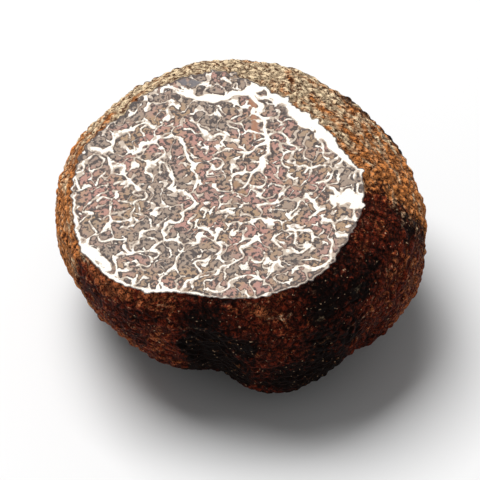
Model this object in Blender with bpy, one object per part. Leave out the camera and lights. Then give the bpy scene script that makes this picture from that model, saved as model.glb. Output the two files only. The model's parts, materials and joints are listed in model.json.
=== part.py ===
"""A black truffle with its top sliced off, lying on its round underside.

The truffle is one solid: a full, rounded body with low swellings, hollows and furrows, cut by two planes. The upper
plane is the knife's cut, and the lower one is the small flat spot that it rests on. +Z is up, -Y is the front,
and the origin is on the ground under the middle of the body. Sizes are in metres and angles in degrees.
"""

import math

import bmesh
import bpy
from mathutils import Matrix, Vector

MM = 0.001

# The whole body before it is cut: half its length, breadth and height, and the way its length points.
HALF_LENGTH = 23.3 * MM
HALF_BREADTH = 21.4 * MM
HALF_HEIGHT = 15.4 * MM
LENGTH_AZIMUTH = -38.0

# The power in the body's side view: 2 is an ellipse, and more gives it fuller shoulders.
SHOULDER_POWER = 2.3

# The knife's cut, as its distance from the body's centre and the tilt of its normal from straight up.
CUT_DISTANCE = 9.2 * MM
CUT_TILT_TO_FRONT = 7.0
CUT_TILT_TO_LEFT = 5.0

# How much of the underside is flat where the truffle rests.
REST_FLATTENING = 0.45 * MM

# Squares along each side of the cube that is blown up into the body.
GRID = 26

# Each swelling or hollow: azimuth from +X, elevation, rise (negative sinks in) and spread, in degrees.
SWELLINGS = (
    ("back_top", 80, 44, -3.0 * MM, 30),
    ("back_right_top", 38, 38, -2.0 * MM, 20),
    ("right_top", -2, 38, -2.7 * MM, 24),
    ("front_right_top", -42, 27, -1.5 * MM, 18),
    ("back_left_top", 146, 32, -2.4 * MM, 26),
    ("back_shoulder", 82, 16, 1.5 * MM, 26),
    ("front_left_shoulder", -136, 14, 2.1 * MM, 24),
    ("front_right_lobe", -74, -34, 1.7 * MM, 19),
    ("left_front_hollow", -146, -18, -0.7 * MM, 18),
    ("right_hollow", 18, 14, -0.5 * MM, 18),
    ("back_right_lobe", 40, -22, 0.9 * MM, 22),
    ("back_left_lobe", 140, -20, 1.0 * MM, 20),
    ("back_hollow", 88, -34, -0.8 * MM, 18),
)

# Each furrow runs along an arc: azimuth and elevation of both ends, depth and half width in degrees.
FURROWS = (
    ("front_furrow", (-100, -52), (-98, -8), 1.6 * MM, 8),
    ("front_rim_furrow", (-103, -2), (-112, 22), 0.5 * MM, 7),
    ("front_right_furrow", (-57, -42), (-47, -12), 1.1 * MM, 8),
    ("right_furrow", (-14, -44), (-4, -8), 0.6 * MM, 8),
    ("back_furrow", (64, -40), (58, 6), 0.9 * MM, 8),
    ("left_furrow", (176, -44), (164, -6), 0.8 * MM, 8),
)

SKIN_COLOUR = (0.035, 0.018, 0.012, 1.0)
SKIN_ROUGHNESS = 0.8


def direction(azimuth, elevation):
    """The unit vector that points that way from the body's centre."""
    turn, lift = math.radians(azimuth), math.radians(elevation)
    return Vector((math.cos(turn) * math.cos(lift), math.sin(turn) * math.cos(lift), math.sin(lift)))


def bell(angle, spread):
    """1 at angle 0, falling smoothly to nothing over about twice the spread."""
    return math.exp(-((angle / math.radians(spread)) ** 2))


def angle_to_arc(way, start, end):
    """The angle between a unit vector and the nearest point of the short arc from start to end."""
    chord = end - start
    share = max(0.0, min(1.0, (way - start).dot(chord) / chord.length_squared))
    return way.angle(start + share * chord)


def plain_radius(way):
    """Distance from the centre to the plain body, an ellipse in plan with full shoulders."""
    turned = Matrix.Rotation(math.radians(-LENGTH_AZIMUTH), 3, "Z") @ way
    across = math.hypot(turned.x / HALF_LENGTH, turned.y / HALF_BREADTH)
    upward = abs(turned.z / HALF_HEIGHT)
    return (across**SHOULDER_POWER + upward**SHOULDER_POWER) ** (-1.0 / SHOULDER_POWER)


def body_radius(way):
    """Distance from the centre to the skin, with its swellings and furrows."""
    radius = plain_radius(way)
    for _, azimuth, elevation, rise, spread in SWELLINGS:
        radius += rise * bell(way.angle(direction(azimuth, elevation)), spread)
    for _, start, end, depth, half_width in FURROWS:
        radius -= depth * bell(angle_to_arc(way, direction(*start), direction(*end)), half_width)
    return radius


def cut_normal():
    """The way the cut face looks."""
    to_front = Matrix.Rotation(math.radians(CUT_TILT_TO_FRONT), 3, "X")
    to_left = Matrix.Rotation(math.radians(-CUT_TILT_TO_LEFT), 3, "Y")
    return to_left @ to_front @ Vector((0.0, 0.0, 1.0))


def blown_up_cube(grid):
    """A cube whose squares are spread evenly over the body."""
    body = bmesh.new()
    bmesh.ops.create_cube(body, size=2.0)
    bmesh.ops.subdivide_edges(body, edges=body.edges[:], cuts=grid - 1, use_grid_fill=True)
    for vertex in body.verts:
        way = Vector([math.tan(c * math.pi / 4) for c in vertex.co]).normalized()
        vertex.co = way * body_radius(way)
    return body


def slice_off(body, point, normal):
    """Removes what lies past the plane and closes the body with a flat face."""
    everything = body.verts[:] + body.edges[:] + body.faces[:]
    cut = bmesh.ops.bisect_plane(
        body, geom=everything, dist=1e-7, plane_co=point, plane_no=normal, clear_outer=True
    )
    rim = [piece for piece in cut["geom_cut"] if isinstance(piece, bmesh.types.BMEdge)]
    bmesh.ops.contextual_create(body, geom=rim)


def stand_on_origin(body):
    """Moves the body so that it rests on the ground with the origin under the middle of its box."""
    places = [vertex.co for vertex in body.verts]
    low = Vector([min(p[axis] for p in places) for axis in range(3)])
    high = Vector([max(p[axis] for p in places) for axis in range(3)])
    middle = (low + high) / 2
    bmesh.ops.translate(body, verts=body.verts[:], vec=Vector((-middle.x, -middle.y, -low.z)))


def skin_material():
    """Matt black-brown skin."""
    skin = bpy.data.materials.new("truffle_skin")
    skin.use_nodes = True
    shader = skin.node_tree.nodes["Principled BSDF"]
    shader.inputs["Base Color"].default_value = SKIN_COLOUR
    shader.inputs["Roughness"].default_value = SKIN_ROUGHNESS
    shader.inputs["Metallic"].default_value = 0.0
    return skin


def black_truffle():
    """The one solid of the part."""
    body = blown_up_cube(GRID)
    normal = cut_normal()
    slice_off(body, normal * CUT_DISTANCE, normal)
    lowest = min(vertex.co.z for vertex in body.verts)
    slice_off(body, Vector((0.0, 0.0, lowest + REST_FLATTENING)), Vector((0.0, 0.0, -1.0)))
    stand_on_origin(body)
    bmesh.ops.recalc_face_normals(body, faces=body.faces[:])
    mesh = bpy.data.meshes.new("black_truffle")
    body.to_mesh(mesh)
    body.free()
    mesh.shade_smooth()
    mesh.set_sharp_from_angle(angle=math.radians(40))
    mesh.materials.append(skin_material())
    truffle = bpy.data.objects.new("black_truffle", mesh)
    bpy.context.scene.collection.objects.link(truffle)
    return truffle


for leftover in list(bpy.data.objects):
    bpy.data.objects.remove(leftover)
black_truffle()
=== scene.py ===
"""The looks of the cut black truffle: a warty rind and a marbled cut face, on one closed mesh."""

import json
import math

import bmesh
import bpy
import numpy as np
from mathutils import Euler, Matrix, Vector, geometry, kdtree


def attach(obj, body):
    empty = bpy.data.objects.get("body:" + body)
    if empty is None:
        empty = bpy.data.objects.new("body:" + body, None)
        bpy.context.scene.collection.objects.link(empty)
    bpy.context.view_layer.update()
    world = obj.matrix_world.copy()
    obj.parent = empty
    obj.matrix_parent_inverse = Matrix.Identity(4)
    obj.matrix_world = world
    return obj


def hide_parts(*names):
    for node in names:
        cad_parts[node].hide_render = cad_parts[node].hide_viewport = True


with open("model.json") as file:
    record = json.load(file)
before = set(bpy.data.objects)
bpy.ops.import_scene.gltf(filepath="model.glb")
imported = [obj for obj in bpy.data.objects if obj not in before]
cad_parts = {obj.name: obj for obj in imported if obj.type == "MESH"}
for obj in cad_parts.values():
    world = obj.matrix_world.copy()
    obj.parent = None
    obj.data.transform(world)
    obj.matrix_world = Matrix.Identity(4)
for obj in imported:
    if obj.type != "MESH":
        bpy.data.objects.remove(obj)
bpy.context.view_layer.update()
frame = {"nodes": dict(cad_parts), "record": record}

MM = 0.001
SEED = 11

# The knife's cut, read from the record.
CUT = next(mount for mount in frame["record"]["mounts"] if mount["name"] == "cut_face")
CUT_POINT = Vector(CUT["pos_m"])
CUT_UP = Vector(CUT["axis"]).normalized()
CUT_RIGHT = Vector((0, 1, 0)).cross(CUT_UP).normalized()
CUT_BACK = CUT_UP.cross(CUT_RIGHT)

# The rind: how fine its mesh is, how far it first stands above the cut, and its warts and lumps.
VOXEL = 0.26 * MM
RAISED = 0.8 * MM
WART_SIZE = 1.25 * MM
WART_HEIGHT = 0.32 * MM
WART_SLOPE = 0.42
LUMP_SIZE = 5.0 * MM
LUMP_HEIGHT = 1.0 * MM

# The cut face: how fine its mesh is, and its two nets of veins, with the step of the square grid that the
# nets are worked out on and how many steps it has each way.
FLESH_STEP = 0.17 * MM
FINE_SPACING = 1.5 * MM
BOLD_SPACING = 2.9 * MM
VEIN_WIDTH = 0.46 * MM
BOLD_WIDTH_SHARE = 0.95
FINE_WHITENESS = 0.35
VEIN_RISE = 0.03 * MM
FIELD_STEP = 0.1 * MM
FIELD_SIZE = 480

# The bake map: where the middles of the rind's disc and of the cut face's are, with the scale of the rind's
# per radian and of the cut face's per metre.
RIND_CHART = Vector((0.37, 0.64))
RIND_CHART_SCALE = 0.147
FLESH_CHART = Vector((0.80, 0.20))
FLESH_CHART_SCALE = 10.6

# Major veins: points across the cut, from -1 to 1 to the right and to the back, and the widths in mm at the
# first point and at the last.
MAJOR_VEINS = (
    (((0.86, -0.20), (0.93, -0.24)), 2.6, 2.2),
    (((-0.35, 0.86), (-0.23, 0.79), (0.03, 0.73), (0.15, 0.77), (0.30, 0.80)), 0.7, 1.5),
    (((0.26, 0.76), (0.31, 0.58), (0.33, 0.40), (0.37, 0.25), (0.27, 0.07), (0.17, -0.05)), 0.8, 0.5),
    (((-0.86, 0.38), (-0.79, 0.34), (-0.73, 0.25), (-0.69, 0.14)), 0.45, 0.35),
    (((-0.98, -0.44), (-0.89, -0.50), (-0.81, -0.56), (-0.74, -0.65), (-0.75, -0.74)), 1.3, 0.5),
    (((-0.61, -0.52), (-0.54, -0.56), (-0.45, -0.55), (-0.38, -0.47)), 0.6, 0.6),
    (((0.49, -0.41), (0.52, -0.56), (0.60, -0.59)), 0.5, 0.4),
)

# White borders: where round the rim and how far each way, in radians from the right, and the width in mm.
WHITE_BORDERS = ((0.60, 0.55, 1.5), (-2.4, 0.9, 0.5), (-1.3, 1.0, 0.22))
THINNEST_BORDER = 0.06

# Stains on the flesh: lines like the major veins', with the width in mm and the colour.
STAINS = (
    (((0.24, 0.70), (0.27, 0.52), (0.26, 0.38)), 1.0, (0.36, 0.15, 0.07)),
    (((0.13, -0.02), (0.18, -0.12)), 0.9, (0.34, 0.19, 0.09)),
    (((-0.24, 0.90), (-0.12, 0.88)), 1.3, (0.13, 0.12, 0.13)),
)

# Patches of the rind, seen from PATCH_CENTRE: compass angle, height angle and reach in degrees, and how much
# redder the rind is there, or blacker if under 0. The blacker patches in the front furrow (-99) and low on
# the front right (-70, -28) are painted shade.
PATCH_CENTRE = (0, 0, 13 * MM)
RIND_PATCHES_AND_PAINTED_SHADE = (
    (-134, 2, 34, 0.36),
    (-99, -6, 15, -0.34),
    (-79, 8, 18, 0.12),
    (-52, 21, 15, -0.14),
    (-38, -2, 24, 0.26),
    (-14, 4, 24, 0.26),
    (-70, -28, 22, -0.25),
    (100, 10, 40, 0.20),
    (170, 5, 36, 0.20),
    (35, -10, 30, 0.20),
)

# Colours, in linear light.
RIND_BLACK = (0.0022, 0.0010, 0.0009, 1)
RIND_RED = (0.17, 0.022, 0.008, 1)
RIND_RUST = (0.46, 0.13, 0.045, 1)
# RIND_PAINTED_LIGHT_TAN and RIND_PAINTED_HIGHLIGHT are painted light: the tan of the rind's lit band and its
# cream painted highlight.
RIND_PAINTED_LIGHT_TAN = (0.74, 0.27, 0.075, 1)
RIND_PAINTED_HIGHLIGHT = (1.0, 0.78, 0.50, 1)
RIND_BROWN = (0.10, 0.028, 0.010, 1)
RIND_PIT = (0.010, 0.004, 0.003, 1)
RIND_FLECK = (0.62, 0.40, 0.24, 1)
# GROOVE_PAINTED_SHADE and GROOVE_PAINTED_SHADE_IN_LIT_BAND are painted shade in the grooves between the
# warts; GROOVE_PAINTED_SHADE_IN_LIT_BAND is the lighter one where the band has painted light.
GROOVE_PAINTED_SHADE = (0.004, 0.002, 0.0015, 1)
GROOVE_PAINTED_SHADE_IN_LIT_BAND = (0.085, 0.030, 0.012, 1)
RIND_SLICED = (0.045, 0.022, 0.014, 1)
FLESH_PINK = (0.44, 0.210, 0.165, 1)
FLESH_OLIVE = (0.385, 0.240, 0.130, 1)
FLESH_GREY = (0.31, 0.225, 0.165, 1)
FLESH_SHADE = (0.075, 0.042, 0.030, 1)
FLESH_SPECK = (0.030, 0.015, 0.011, 1)
FLESH_DUST = (0.10, 0.07, 0.055, 1)
VEIN_DULL = (0.54, 0.43, 0.335, 1)
VEIN_WHITE = (1.0, 0.94, 0.84, 1)
FLOOR_WHITE = (0.86, 0.86, 0.86, 1)
LIGHT_WHITE = (1.0, 1.0, 1.0, 1)


# Nodes, for shader and geometry trees alike


def add(tree, kind, inputs=None, **settings):
    """Adds a node and sets or links its inputs."""
    node = tree.nodes.new(kind)
    for name, value in settings.items():
        setattr(node, name, value)
    for key, value in (inputs or {}).items():
        if isinstance(value, bpy.types.NodeSocket):
            tree.links.new(value, node.inputs[key])
        else:
            node.inputs[key].default_value = value
    return node


def maths(tree, operation, *values, clamp=False):
    """The result of one operation on numbers."""
    node = add(tree, "ShaderNodeMath", dict(enumerate(values)), operation=operation, use_clamp=clamp)
    return node.outputs[0]


def total(tree, *terms):
    """The sum of the terms, each a value or a pair of a value and its weight."""
    values = [maths(tree, "MULTIPLY", *term) if isinstance(term, tuple) else term for term in terms]
    result = values[0]
    for value in values[1:]:
        result = maths(tree, "ADD", result, value)
    return result


def centred(tree, value):
    """Random values about 0, from those about 0.5."""
    return maths(tree, "SUBTRACT", value, 0.5)


def vectors(tree, operation, *values):
    """The result of one operation on vectors."""
    node = add(tree, "ShaderNodeVectorMath", dict(enumerate(values)), operation=operation)
    return node.outputs["Vector"]


def dot(tree, a, b):
    """The dot product of two vectors."""
    return add(tree, "ShaderNodeVectorMath", {0: a, 1: b}, operation="DOT_PRODUCT").outputs["Value"]


def scaled(tree, vector, factor):
    """A vector times a number."""
    inputs = {0: vector, "Scale": factor}
    return add(tree, "ShaderNodeVectorMath", inputs, operation="SCALE").outputs["Vector"]


def rise(tree, value, low, high, start=0.0, end=1.0):
    """A smooth step from start, where the value is low, to end, where it is high."""
    inputs = {"Value": value, "From Min": low, "From Max": high, "To Min": start, "To Max": end}
    return add(tree, "ShaderNodeMapRange", inputs, interpolation_type="SMOOTHSTEP").outputs["Result"]


def noise_node(tree, place, size, detail, roughness, shift):
    """Smooth noise with features of the given size. Each shift gives other noise."""
    moved = vectors(tree, "ADD", place, (shift, -shift, 2 * shift))
    inputs = {"Vector": moved, "Scale": 1 / size, "Detail": detail, "Roughness": roughness}
    return add(tree, "ShaderNodeTexNoise", inputs)


def noise(tree, place, size, detail=2.0, roughness=0.5, shift=0.0):
    """Smooth random values about 0.5."""
    return noise_node(tree, place, size, detail, roughness, shift).outputs[0]


def wobbled(tree, place, size, amount, shift=0.0):
    """The place, moved about smoothly."""
    colour = noise_node(tree, place, size, 1.0, 0.5, shift).outputs["Color"]
    away = vectors(tree, "SUBTRACT", colour, (0.5, 0.5, 0.5))
    return vectors(tree, "ADD", place, scaled(tree, away, amount))


def warts(tree, place):
    """The rind's warts: how far inside its wart a point lies, in warts, and a random value for each wart."""
    bent = wobbled(tree, place, 2.6 * MM, 0.9 * MM)
    rough = wobbled(tree, bent, 0.55 * MM, 0.34 * MM, 0.3)
    inputs = {"Vector": rough, "Scale": 1 / WART_SIZE, "Randomness": 0.95}
    edge = add(tree, "ShaderNodeTexVoronoi", inputs, feature="DISTANCE_TO_EDGE").outputs["Distance"]
    colour = add(tree, "ShaderNodeTexVoronoi", inputs, feature="F1").outputs["Color"]
    return edge, add(tree, "ShaderNodeSeparateXYZ", {0: colour}).outputs[0]


def mix(tree, factor, a, b):
    """A mix of two colours."""
    return add(tree, "ShaderNodeMix", {0: factor, 6: a, 7: b}, data_type="RGBA").outputs[2]


def attribute(tree, name):
    """A named value of the mesh."""
    return add(tree, "ShaderNodeAttribute", attribute_name=name)


# The rind's shape


def relief_modifier(body):
    """Lumps and warts raised by geometry nodes. The place before the rise is kept as the attribute rest."""
    tree = bpy.data.node_groups.new("rind_relief", "GeometryNodeTree")
    tree.interface.new_socket("Geometry", in_out="INPUT", socket_type="NodeSocketGeometry")
    tree.interface.new_socket("Geometry", in_out="OUTPUT", socket_type="NodeSocketGeometry")
    start = add(tree, "NodeGroupInput")
    place = add(tree, "GeometryNodeInputPosition").outputs[0]
    named = {"Geometry": start.outputs[0], "Name": "rest", "Value": place}
    kept = add(tree, "GeometryNodeStoreNamedAttribute", named, data_type="FLOAT_VECTOR", domain="POINT")
    edge, tint = warts(tree, place)
    top = maths(tree, "POWER", maths(tree, "DIVIDE", edge, WART_SLOPE, clamp=True), 0.8)
    lowest, highest, sunk = 0.55 * WART_HEIGHT, 1.25 * WART_HEIGHT, 0.6 * WART_HEIGHT
    wart = maths(tree, "MULTIPLY", top, rise(tree, tint, 0, 1, lowest, highest))
    lump = centred(tree, noise(tree, place, LUMP_SIZE, 2.0, 0.45, 0.1))
    height = maths(tree, "SUBTRACT", total(tree, wart, (lump, LUMP_HEIGHT)), sunk)
    outward = add(tree, "GeometryNodeInputNormal").outputs[0]
    offset = scaled(tree, outward, height)
    moved = add(tree, "GeometryNodeSetPosition", {"Geometry": kept.outputs[0], "Offset": offset})
    add(tree, "NodeGroupOutput", {0: moved.outputs[0]})
    body.modifiers.new("relief", "NODES").node_group = tree


def lies_on_cut(face):
    """Whether a face is part of the knife's cut."""
    height = (face.calc_center_median() - CUT_POINT).dot(CUT_UP)
    return face.normal.dot(CUT_UP) > 0.9999 and abs(height) < 0.01 * MM


def raise_cut(body):
    """Carries the skin on above the cut, at its own slope, so that the warts can be sliced through."""
    top = [face for face in body.faces if lies_on_cut(face)]
    on_top = set(top)
    decimals = 7
    steps = {}
    for vertex in {vertex for face in top for vertex in face.verts}:
        beside = [face for face in vertex.link_faces if face not in on_top]
        skin = sum((face.normal * face.calc_area() for face in beside), Vector()).normalized()
        upward = skin.dot(CUT_UP)
        outward = skin - upward * CUT_UP
        steps[vertex.co.to_tuple(decimals)] = RAISED * (CUT_UP - outward * upward / outward.length_squared)
    made = bmesh.ops.extrude_face_region(body, geom=top)["geom"]
    for vertex in (piece for piece in made if isinstance(piece, bmesh.types.BMVert)):
        vertex.co += steps[vertex.co.to_tuple(decimals)]


def warty_body(node):
    """The CAD body with its skin carried on past the cut, finely remeshed, with lumps and warts."""
    body = bmesh.new()
    body.from_mesh(node.data)
    bmesh.ops.remove_doubles(body, verts=body.verts[:], dist=0.001 * MM)
    body.normal_update()
    raise_cut(body)
    mesh = bpy.data.meshes.new("body")
    body.to_mesh(mesh)
    body.free()
    solid = bpy.data.objects.new("body", mesh)
    bpy.context.scene.collection.objects.link(solid)
    remesh = solid.modifiers.new("remesh", "REMESH")
    remesh.mode = "VOXEL"
    remesh.voxel_size = VOXEL
    remesh.use_smooth_shade = True
    smooth = solid.modifiers.new("smooth", "SMOOTH")
    smooth.factor, smooth.iterations = 0.5, 8
    relief_modifier(solid)
    graph = bpy.context.evaluated_depsgraph_get()
    shaped = bpy.data.meshes.new_from_object(solid.evaluated_get(graph))
    bpy.data.objects.remove(solid)
    return shaped


def slice_body(shaped):
    """Cuts the warty body at the knife's plane and lays its underside flat. The cut is left open."""
    body = bmesh.new()
    body.from_mesh(shaped)
    for name in ("vein", "depth"):
        body.verts.layers.float.new(name)
    body.verts.layers.float_color.new("stain")
    everything = body.verts[:] + body.edges[:] + body.faces[:]
    plane = {"plane_co": CUT_POINT, "plane_no": CUT_UP, "dist": 0.002 * MM}
    bmesh.ops.bisect_plane(body, geom=everything, clear_outer=True, **plane)
    for vertex in body.verts:
        vertex.co.z = max(vertex.co.z, 0.0)
    return body


def rim_loops(body):
    """The open edge of the sliced body, as rings of vertices with the longest ring first."""
    following = {}
    for edge in (edge for edge in body.edges if edge.is_boundary):
        loop = edge.link_loops[0]
        following[loop.vert] = loop.link_loop_next.vert
    rings = []
    while following:
        first, vertex = following.popitem()
        ring = [first]
        while vertex is not first:
            ring.append(vertex)
            vertex = following.pop(vertex)
        rings.append(ring)
    return sorted(rings, key=len, reverse=True)


# The cut face


def on_cut(places):
    """Places as right and back distances on the cut, from CUT_POINT."""
    away = np.asarray(places) - np.array(CUT_POINT)
    return np.stack([away @ np.array(CUT_RIGHT), away @ np.array(CUT_BACK)], axis=-1)


def off_cut(points, heights):
    """The places at the given right and back distances on the cut, and heights above it."""
    right, back, up = (np.array(way) for way in (CUT_RIGHT, CUT_BACK, CUT_UP))
    return np.array(CUT_POINT) + points[:, :1] * right + points[:, 1:] * back + heights[:, None] * up


def inside(points, ring):
    """Which points lie inside the ring."""
    hit = np.zeros(len(points), bool)
    for (x0, y0), (x1, y1) in zip(ring, np.roll(ring, -1, axis=0)):
        if y0 != y1:
            crosses = (y0 > points[:, 1]) != (y1 > points[:, 1])
            hit ^= crosses & (points[:, 0] < (x1 - x0) * (points[:, 1] - y0) / (y1 - y0) + x0)
    return hit


def distance_to(points, line):
    """Each point's distance to a line, and how far along the line the nearest place is, from 0 to 1."""
    nearest = np.full(len(points), np.inf)
    along = np.zeros(len(points))
    runs = np.linalg.norm(np.diff(line, axis=0), axis=1)
    starts = np.concatenate([[0.0], np.cumsum(runs)])
    for start, end, run, before in zip(line[:-1], line[1:], runs, starts):
        share = np.clip((points - start) @ (end - start) / run**2, 0, 1)
        away = np.linalg.norm(points - (start + share[:, None] * (end - start)), axis=1)
        closer = away < nearest
        nearest[closer] = away[closer]
        along[closer] = (before + share[closer] * run) / starts[-1]
    return nearest, along


def smooth_line(points, rounds=3):
    """A line with its corners cut again and again, which rounds it."""
    line = np.array(points, float)
    for _ in range(rounds):
        early, late = 0.75 * line[:-1] + 0.25 * line[1:], 0.25 * line[:-1] + 0.75 * line[1:]
        line = np.vstack([line[:1], np.stack([early, late], axis=1).reshape(-1, 2), line[-1:]])
    return line


def ring_filter(wavelength, spread):
    """Keeps waves near one wavelength, on the field's grid."""
    steps = np.fft.fftfreq(FIELD_SIZE, FIELD_STEP)
    waves = np.hypot(*np.meshgrid(steps, steps)) * wavelength
    return np.exp(-(((waves - 1) / spread) ** 2))


def filtered(field, waves):
    """The field with only the share of each wave that the filter keeps."""
    return np.fft.ifft2(np.fft.fft2(field) * waves).real


def smooth_field(random, size):
    """A smooth random field with features of the given size, about 0 with a spread of 1."""
    field = filtered(random.standard_normal((FIELD_SIZE, FIELD_SIZE)), ring_filter(size, 0.6))
    return field / field.std()


def labyrinth(random, spacing):
    """Winding bands that keep one spacing, as reaction and diffusion leave them."""
    field = random.standard_normal((FIELD_SIZE, FIELD_SIZE))
    band = ring_filter(spacing, 0.65)
    rounds, contrast = 4, 1.7
    for _ in range(rounds):
        field = filtered(field, band)
        field = np.tanh(contrast * field / field.std())
    field = filtered(field, ring_filter(spacing, 0.8))
    return field / np.quantile(np.abs(field), 0.97)


def threads(field, spacing, width):
    """Thin lines along the crests of a field: 1 on a crest, 0 at a line's edge, and under 0 beyond."""
    blunt, sharp = 0.12, 0.6
    thinnest = 0.04 * MM
    far = -3
    across, back = np.gradient(field, FIELD_STEP)
    across_twice, mixed = np.gradient(across, FIELD_STEP)
    back_twice = np.gradient(back, FIELD_STEP, axis=1)
    bend = (across_twice + back_twice) / 2 - np.hypot((across_twice - back_twice) / 2, mixed)
    way = np.stack([mixed, bend - across_twice])
    way /= np.linalg.norm(way, axis=0) + 1e-12
    away = np.abs(across * way[0] + back * way[1]) / np.maximum(-bend, 1e-9)
    sharpness = np.clip(-bend * (spacing / math.tau) ** 2, 0, sharp)
    value = 1 - 2 * away / np.maximum(width * sharpness / sharp, thinnest)
    return np.where((sharpness < blunt) | (field < 0), far, np.maximum(value, far))


def read_field(field, points):
    """The field at each point, between its grid's values."""
    at = points / FIELD_STEP + FIELD_SIZE / 2
    low = np.floor(at).astype(int)
    share = at - low
    low %= FIELD_SIZE
    high = (low + 1) % FIELD_SIZE
    near = field[low[:, 0], low[:, 1]] * (1 - share[:, 1]) + field[low[:, 0], high[:, 1]] * share[:, 1]
    far = field[high[:, 0], low[:, 1]] * (1 - share[:, 1]) + field[high[:, 0], high[:, 1]] * share[:, 1]
    return near * (1 - share[:, 0]) + far * share[:, 0]


def drift(random, points, size, amount):
    """Smooth random moves for the points."""
    return amount * np.stack([read_field(smooth_field(random, size), points) for _ in range(2)], axis=1)


def edge_value(inward):
    """A vein's value at a distance inward from its edge: over 0 inside, up to 1, and under 0 outside."""
    return np.minimum(inward / (VEIN_WIDTH / 2), 1)


def major_veins(points, middle, half, uneven):
    """The highest value at each point of the major veins."""
    values = []
    for line, start_width, end_width in MAJOR_VEINS:
        away, along = distance_to(points, smooth_line(middle + np.array(line) * half))
        width = (start_width + (end_width - start_width) * along) * (1 + 0.22 * uneven) * MM
        values.append(edge_value(width / 2 - away))
    return np.max(values, axis=0)


def rim_border(points, middle, rim_distance, uneven):
    """The value at each point of the border along the rim, which widens at the white borders."""
    turn = np.arctan2(points[:, 1] - middle[1], points[:, 0] - middle[0])
    border = np.full(len(points), THINNEST_BORDER)
    for centre, reach, width in WHITE_BORDERS:
        away = np.angle(np.exp(1j * (turn - centre)))
        border = np.maximum(border, width * (1 + 0.15 * uneven) * np.exp(-((away / reach) ** 4)))
    return edge_value(border * MM - rim_distance)


def vein_values(points, ring, rim_distance):
    """Over 0 in a vein, up to 1 where it is whitest, and under 0 in the darker flesh between veins."""
    random = np.random.default_rng(SEED)
    low, high = ring.min(axis=0), ring.max(axis=0)
    middle, half = (low + high) / 2, (high - low) / 2
    bent = points + drift(random, points, 2.6 * MM, 0.20 * MM) + drift(random, points, 0.6 * MM, 0.03 * MM)
    uneven = read_field(smooth_field(random, 3.0 * MM), points)
    width = VEIN_WIDTH * (1 + 0.30 * smooth_field(random, 3.0 * MM) + 0.30 * smooth_field(random, 1.5 * MM))
    bold_width = BOLD_WIDTH_SHARE * width
    fine = read_field(threads(labyrinth(random, FINE_SPACING), FINE_SPACING, width), bent)
    bold = read_field(threads(labyrinth(random, BOLD_SPACING), BOLD_SPACING, bold_width), bent)
    major = major_veins(bent, middle, half, uneven)
    border = rim_border(points, middle, rim_distance, uneven)
    return np.max([np.minimum(fine, FINE_WHITENESS), bold, major, border], axis=0)


def stain_values(points, ring):
    """The colour of the stain at each point, with its strength as the fourth value."""
    random = np.random.default_rng(SEED + 1)
    low, high = ring.min(axis=0), ring.max(axis=0)
    uneven = read_field(smooth_field(random, 1.2 * MM), points)
    values = np.zeros((len(points), 4))
    for line, width, colour in STAINS:
        away, _ = distance_to(points, smooth_line((low + high) / 2 + np.array(line) * (high - low) / 2))
        strength = np.exp(-((2 * away / (width * MM)) ** 2)) * np.clip(0.85 + 0.35 * uneven, 0, 1)
        stained = strength > values[:, 3]
        values[stained] = np.column_stack([np.tile(colour, (len(points), 1)), strength])[stained]
    return values


def flesh_points(ring, random):
    """Evenly spaced points inside the rim, slightly shaken."""
    shake, least_gap = 0.15, 0.6
    low, high = ring.min(axis=0), ring.max(axis=0)
    columns = np.arange(low[0], high[0], FLESH_STEP)
    rows = np.arange(low[1], high[1], FLESH_STEP * math.sqrt(0.75))
    across, back = np.meshgrid(columns, rows)
    across[1::2] += FLESH_STEP / 2
    points = np.stack([across.ravel(), back.ravel()], axis=1)
    points += random.uniform(-shake, shake, points.shape) * FLESH_STEP
    points = points[inside(points, ring)]
    return points[distance_to_ring(points, ring) > least_gap * FLESH_STEP]


def distance_to_ring(points, ring):
    """Each point's distance to the rim."""
    dense = np.vstack([ring + (np.roll(ring, -1, axis=0) - ring) * share for share in (0, 0.25, 0.5, 0.75)])
    tree = kdtree.KDTree(len(dense))
    for index, (x, y) in enumerate(dense):
        tree.insert((x, y, 0), index)
    tree.balance()
    return np.array([tree.find((x, y, 0))[2] for x, y in points])


def flesh_mesh(ring):
    """Inner points of the cut face, and triangles that join them to the rim, whose points come first."""
    random = np.random.default_rng(SEED)
    inner = flesh_points(ring, random)
    everything = np.vstack([ring, inner])
    corners = [Vector(point) for point in everything / MM]
    outline = list(range(len(ring)))
    inside_only, tolerance = 1, 1e-7
    _, _, faces, sources, _, _ = geometry.delaunay_2d_cdt(corners, [], [outline], inside_only, tolerance)
    triangles = [[sources[corner][0] for corner in face] for face in faces]
    return inner, triangles


# The finished mesh


def fill_cut(body, rim):
    """Fills the rim with the fine cut face, and gives its vertices their vein, depth and stain."""
    ring = on_cut([vertex.co for vertex in rim])
    inner, triangles = flesh_mesh(ring)
    points = np.vstack([ring, inner])
    rim_distance = np.concatenate([np.zeros(len(ring)), distance_to_ring(inner, ring)])
    veins = vein_values(points, ring, rim_distance)
    stains = stain_values(points, ring)

    # The veins stand proud of the cut and the flesh between them lies as far below it, but not at the rim.
    lift = VEIN_RISE * np.tanh(3 * veins) * np.clip(rim_distance / (0.5 * MM), 0, 1)

    rest = body.verts.layers.float_vector["rest"]
    vein = body.verts.layers.float["vein"]
    depth = body.verts.layers.float["depth"]
    stain = body.verts.layers.float_color["stain"]
    vertices = list(rim)
    for place in off_cut(inner, lift[len(ring):]):
        vertex = body.verts.new(place)
        vertex[rest] = place
        vertices.append(vertex)
    for vertex, value, inward, colour in zip(vertices, veins, rim_distance, stains):
        vertex[vein] = value
        vertex[depth] = inward
        vertex[stain] = colour
    for triangle in triangles:
        face = body.faces.new([vertices[corner] for corner in triangle])
        face.material_index = 1
    for pair in zip(rim, rim[1:] + rim[:1]):
        body.edges.get(pair).smooth = False


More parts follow.
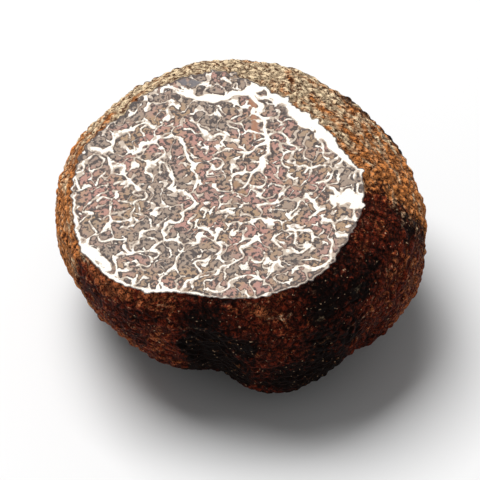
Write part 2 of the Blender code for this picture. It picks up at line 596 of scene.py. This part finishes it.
def spread_flat(body):
    """Lays the mesh out flat for baking: the rind as a disc round its lowest point, and the cut face."""
    chart = body.loops.layers.uv.new("OFBake")
    rind_middle = Vector((0, 0, CUT_POINT.z / 2))
    for face in body.faces:
        for loop in face.loops:
            if face.material_index == 1:
                away = loop.vert.co - CUT_POINT
                across = Vector((away.dot(CUT_RIGHT), away.dot(CUT_BACK)))
                loop[chart].uv = FLESH_CHART + across * FLESH_CHART_SCALE
            else:
                away = loop.vert.co - rind_middle
                from_below = away.angle(Vector((0, 0, -1)))
                outward = Vector((-away.x, away.y)).normalized()
                loop[chart].uv = RIND_CHART + outward * from_below * RIND_CHART_SCALE


def truffle_mesh(node):
    """One closed mesh: the sliced rind, and the fine cut face that fills it."""
    body = slice_body(warty_body(node))
    rim, *holes = rim_loops(body)
    for hole in holes:
        body.faces.new(reversed(hole))
    fill_cut(body, rim[::-1])
    bmesh.ops.triangulate(body, faces=[face for face in body.faces if len(face.verts) > 3])
    for face in body.faces:
        face.smooth = True
    body.normal_update()
    spread_flat(body)
    mesh = bpy.data.meshes.new("black_truffle_look")
    body.to_mesh(mesh)
    body.free()
    return mesh


# Materials


def new_material(name):
    """An empty node material, its tree and its shader."""
    material = bpy.data.materials.new(name)
    material.use_nodes = True
    tree = material.node_tree
    return material, tree, tree.nodes["Principled BSDF"]


def dress(tree, shader, skin, roughness, height, strength, distance):
    """Links a colour, a roughness and a bump of the given height to the shader."""
    bump = add(tree, "ShaderNodeBump", {"Height": height, "Strength": strength, "Distance": distance})
    tree.links.new(skin, shader.inputs["Base Color"])
    tree.links.new(roughness, shader.inputs["Roughness"])
    tree.links.new(bump.outputs[0], shader.inputs["Normal"])


def patch_warmth_and_shade(tree, place):
    """How much redder the rind's patches make a place, or blacker if under 0; the blacker patches in the
    front furrow and low on the front right are painted shade.
    """
    way = vectors(tree, "NORMALIZE", vectors(tree, "SUBTRACT", place, PATCH_CENTRE))
    parts = []
    for compass, height, reach, strength in RIND_PATCHES_AND_PAINTED_SHADE:
        aim = Euler((0, math.radians(-height), math.radians(compass))).to_matrix() @ Vector((1, 0, 0))
        nearness = dot(tree, way, tuple(aim))
        parts.append(rise(tree, nearness, math.cos(math.radians(reach)), 1, 0, strength))
    return total(tree, *parts)


def painted_light_zone(tree, right, back, above, strayed, broad):
    """How near the cut a place counts as, and how much of it gets the painted light of the lamp behind: a tan
    band beside the cut, towards the back. On the sides the painted light reaches further.
    """
    aside = maths(tree, "MULTIPLY", maths(tree, "ABSOLUTE", right), rise(tree, back, 0, 12 * MM, 0.3, 0.0))
    nearness = total(tree, above, aside, (broad, 12 * MM))
    backward = total(tree, dot(tree, strayed, (-0.15, 1, 0)), aside)
    near_cut = rise(tree, nearness, -8.5 * MM, -3.5 * MM)
    return nearness, maths(tree, "MULTIPLY", near_cut, rise(tree, backward, -8 * MM, 2 * MM))


def dark_skin(tree, warmth_and_shade, speckle, spotty, pale):
    """Black, with red-brown where it is warm and rusty spots; blacker where the patches paint shade, and more
    rust spots where the band has painted light.
    """
    redness = total(tree, warmth_and_shade, (centred(tree, speckle), 1.1))
    rustiness = total(tree, spotty, (warmth_and_shade, 0.8), (pale, 0.15))
    skin = mix(tree, rise(tree, redness, -0.08, 0.34), RIND_BLACK, RIND_RED)
    return mix(tree, rise(tree, rustiness, 0.70, 0.84), skin, RIND_RUST)


def painted_lit_skin(tree, streak, speckle, back, nearness, by_rim):
    """Painted light in tan, with cream painted highlights in streaks, more of them at the back and beside the
    cut, and brown specks.
    """
    more_painted_highlight_at_back = rise(tree, back, -5 * MM, 20 * MM, -0.12, 0.12)
    less_painted_highlight_below = rise(tree, nearness, -9 * MM, -3 * MM, -0.16, 0.0)
    painted_highlight_share = total(tree, streak, more_painted_highlight_at_back, less_painted_highlight_below, (by_rim, 0.04))
    skin = mix(tree, rise(tree, painted_highlight_share, 0.40, 0.60), RIND_PAINTED_LIGHT_TAN, RIND_PAINTED_HIGHLIGHT)
    return mix(tree, rise(tree, speckle, 0.49, 0.39, 0.0, 0.9), skin, RIND_BROWN)


def rind_material():
    """Black and red-brown warts, with painted light in tan and cream beside the cut at the back and on both
    sides, where the lamp from behind falls.
    """
    material, tree, shader = new_material("truffle_rind")
    place = attribute(tree, "rest").outputs["Vector"]
    edge, tint = warts(tree, place)
    broad = centred(tree, noise(tree, place, 7 * MM))
    speckle = noise(tree, place, 0.5 * MM, 2.0, 0.6, 0.2)
    fleck = noise(tree, place, 0.34 * MM, 1.0, 0.5, 0.6)
    grain = noise(tree, place, 0.20 * MM, 3.0, 0.7, 0.4)
    spotty = total(tree, (speckle, 0.8), (tint, 0.12))
    strayed = wobbled(tree, place, 5 * MM, 12 * MM, 0.7)

    # Where the point is: to the right, to the back, above the cut's plane, and round the rim.
    right, back, _ = add(tree, "ShaderNodeSeparateXYZ", {0: place}).outputs
    above = dot(tree, vectors(tree, "SUBTRACT", place, tuple(CUT_POINT)), tuple(CUT_UP))
    round_rim = maths(tree, "MULTIPLY", maths(tree, "ARCTAN2", right, back), 6 * MM)
    along_rim = add(tree, "ShaderNodeCombineXYZ", {0: round_rim, 1: above}).outputs[0]
    streak = noise(tree, along_rim, 1.0 * MM, 3.0, 0.6, 0.1)
    by_rim = rise(tree, above, -3.5 * MM, -0.5 * MM)

    # pale is painted light, on the band beside the cut that faces the lamp at the back and on the sides.
    nearness, pale = painted_light_zone(tree, right, back, above, strayed, broad)
    warmth_and_shade = total(tree, broad, (by_rim, 0.20), patch_warmth_and_shade(tree, strayed))
    dark = dark_skin(tree, warmth_and_shade, speckle, spotty, pale)
    tan = painted_lit_skin(tree, streak, speckle, back, nearness, by_rim)
    # The dark skin gives way to the painted light's tan and cream where the band is lit.
    painted_light_share = total(tree, (pale, 0.6), streak, (spotty, 0.8))
    skin = mix(tree, rise(tree, painted_light_share, 0.98, 1.42), dark, tan)

    # Painted shade in the grooves between the warts, darkest at their bottoms, then pits and flecks all over.
    groove_shade = mix(tree, pale, GROOVE_PAINTED_SHADE, GROOVE_PAINTED_SHADE_IN_LIT_BAND)
    skin = mix(tree, rise(tree, edge, 0.0, 0.24, 0.65, 0.0), skin, groove_shade)
    pits = total(tree, grain, (pale, 0.05))
    skin = mix(tree, rise(tree, pits, 0.52, 0.42, 0.0, 0.95), skin, RIND_PIT)
    skin = mix(tree, rise(tree, fleck, 0.71, 0.77, 0.0, 0.7), skin, RIND_FLECK)

    flat_top = 0.4
    dome = maths(tree, "MINIMUM", edge, flat_top)
    height = total(tree, (dome, WART_HEIGHT / flat_top), (speckle, 0.30 * MM), (grain, 0.12 * MM))
    dress(tree, shader, skin, rise(tree, grain, 0.3, 0.7, 0.80, 0.55), height, 1.0, 1.0)
    shader.inputs["Specular IOR Level"].default_value = 0.04
    return material


def plain_flesh(tree, place, small, beside_vein):
    """Pinkish, olive and grey-brown flesh, darker beside a vein, with dark specks."""
    broad = noise(tree, place, 6 * MM)
    middling = noise(tree, place, 3 * MM, 2.0, 0.5, 0.2)
    specks = noise(tree, place, 0.46 * MM, 2.0, 0.5, 0.6)
    flesh = mix(tree, rise(tree, middling, 0.38, 0.62), FLESH_PINK, FLESH_OLIVE)
    flesh = mix(tree, rise(tree, broad, 0.45, 0.65), flesh, FLESH_GREY)
    shade = maths(tree, "MULTIPLY", beside_vein, rise(tree, small, 0.34, 0.54, 0.15, 1.0))
    flesh = mix(tree, shade, flesh, FLESH_SHADE)
    return mix(tree, rise(tree, specks, 0.49, 0.57, 0.0, 0.95), flesh, FLESH_SPECK)


def flesh_material():
    """Pinkish grey-brown flesh with a few stains, marbled with dull and white veins."""
    material, tree, shader = new_material("truffle_flesh")
    place = attribute(tree, "rest").outputs["Vector"]
    vein = attribute(tree, "vein").outputs["Fac"]
    depth = attribute(tree, "depth").outputs["Fac"]
    stain = attribute(tree, "stain").outputs
    small = noise(tree, place, 0.8 * MM, 2.0, 0.5, 0.3)
    faint = noise(tree, place, 1.2 * MM, 2.0, 0.6, 0.7)
    grain = noise(tree, place, 0.18 * MM, 3.0, 0.65, 0.4)
    uneven = total(tree, centred(tree, grain), centred(tree, small))
    ragged = total(tree, vein, (uneven, 0.6))

    flesh = plain_flesh(tree, place, small, rise(tree, ragged, -1.9, -0.8))
    stained = total(tree, stain["Alpha"], (uneven, 0.5))
    flesh = mix(tree, rise(tree, stained, 0.25, 0.60, 0.0, 0.9), flesh, stain["Color"])

    in_vein = rise(tree, ragged, -0.30, 0.30)
    whiteness = total(tree, ragged, (centred(tree, faint), 2.0))
    marbling = mix(tree, rise(tree, whiteness, 0.20, 0.60), VEIN_DULL, VEIN_WHITE)
    skin = mix(tree, in_vein, flesh, marbling)
    skin = mix(tree, rise(tree, grain, 0.48, 0.30, 0.0, 0.35), skin, FLESH_DUST)

    # The thin dark edge of the rind, sliced through.
    inward = total(tree, depth, (uneven, 0.25 * MM))
    skin = mix(tree, rise(tree, inward, 0.05 * MM, 0.22 * MM), RIND_SLICED, skin)

    height = total(tree, grain, (in_vein, 0.6))
    dress(tree, shader, skin, rise(tree, grain, 0.3, 0.7, 0.45, 0.65), height, 0.35, 0.08 * MM)
    return material


def floor_material():
    """Plain white."""
    material, _, shader = new_material("floor")
    shader.inputs["Base Color"].default_value = FLOOR_WHITE
    shader.inputs["Roughness"].default_value = 0.9
    return material


# The truffle


node = frame["nodes"]["black_truffle"]
mesh = truffle_mesh(node)
mesh.materials.append(rind_material())
mesh.materials.append(flesh_material())
truffle = bpy.data.objects.new("truffle", mesh)
bpy.context.scene.collection.objects.link(truffle)
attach(truffle, "root")
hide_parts("black_truffle")


# Floor, light and camera


def make_floor():
    """A wide, pale floor."""
    floor_mesh = bpy.data.meshes.new("floor")
    reach = 3.0
    corners = [(-reach, -reach, 0), (reach, -reach, 0), (reach, reach, 0), (-reach, reach, 0)]
    floor_mesh.from_pydata(corners, [], [(0, 1, 2, 3)])
    floor_mesh.materials.append(floor_material())
    floor = bpy.data.objects.new("floor", floor_mesh)
    bpy.context.scene.collection.objects.link(floor)


def make_light(place, target, size, power):
    """A soft square lamp that looks at the target."""
    lamp = bpy.data.lights.new("key", "AREA")
    lamp.size, lamp.energy = size, power
    light = bpy.data.objects.new("key", lamp)
    light.location = place
    light.rotation_euler = (Vector(target) - Vector(place)).to_track_quat("-Z", "Y").to_euler()
    bpy.context.scene.collection.objects.link(light)


def make_camera(target, elevation, distance, width):
    """A long lens that sees the given width at the target."""
    camera = bpy.data.cameras.new("camera")
    camera.lens = camera.sensor_width * distance / width
    camera.clip_start, camera.clip_end = 0.01, 10
    seen = bpy.data.objects.new("camera", camera)
    lift = math.radians(elevation)
    seen.location = Vector(target) + distance * Vector((0, -math.cos(lift), math.sin(lift)))
    seen.rotation_euler = (math.radians(90 - elevation), 0, 0)
    bpy.context.scene.collection.objects.link(seen)
    bpy.context.scene.camera = seen


def make_world(strength):
    """Even light from all round."""
    world = bpy.data.worlds.new("world")
    world.use_nodes = True
    background = world.node_tree.nodes["Background"]
    background.inputs["Color"].default_value = LIGHT_WHITE
    background.inputs["Strength"].default_value = strength
    bpy.context.scene.world = world


make_floor()
make_light(place=(-0.17, 0.15, 0.60), target=(0, 0, 12 * MM), size=0.40, power=4.65)
make_world(strength=0.23)
make_camera(target=(0, -1 * MM, 11.5 * MM), elevation=45, distance=0.45, width=58 * MM)
bpy.context.scene.view_settings.view_transform = "Standard"
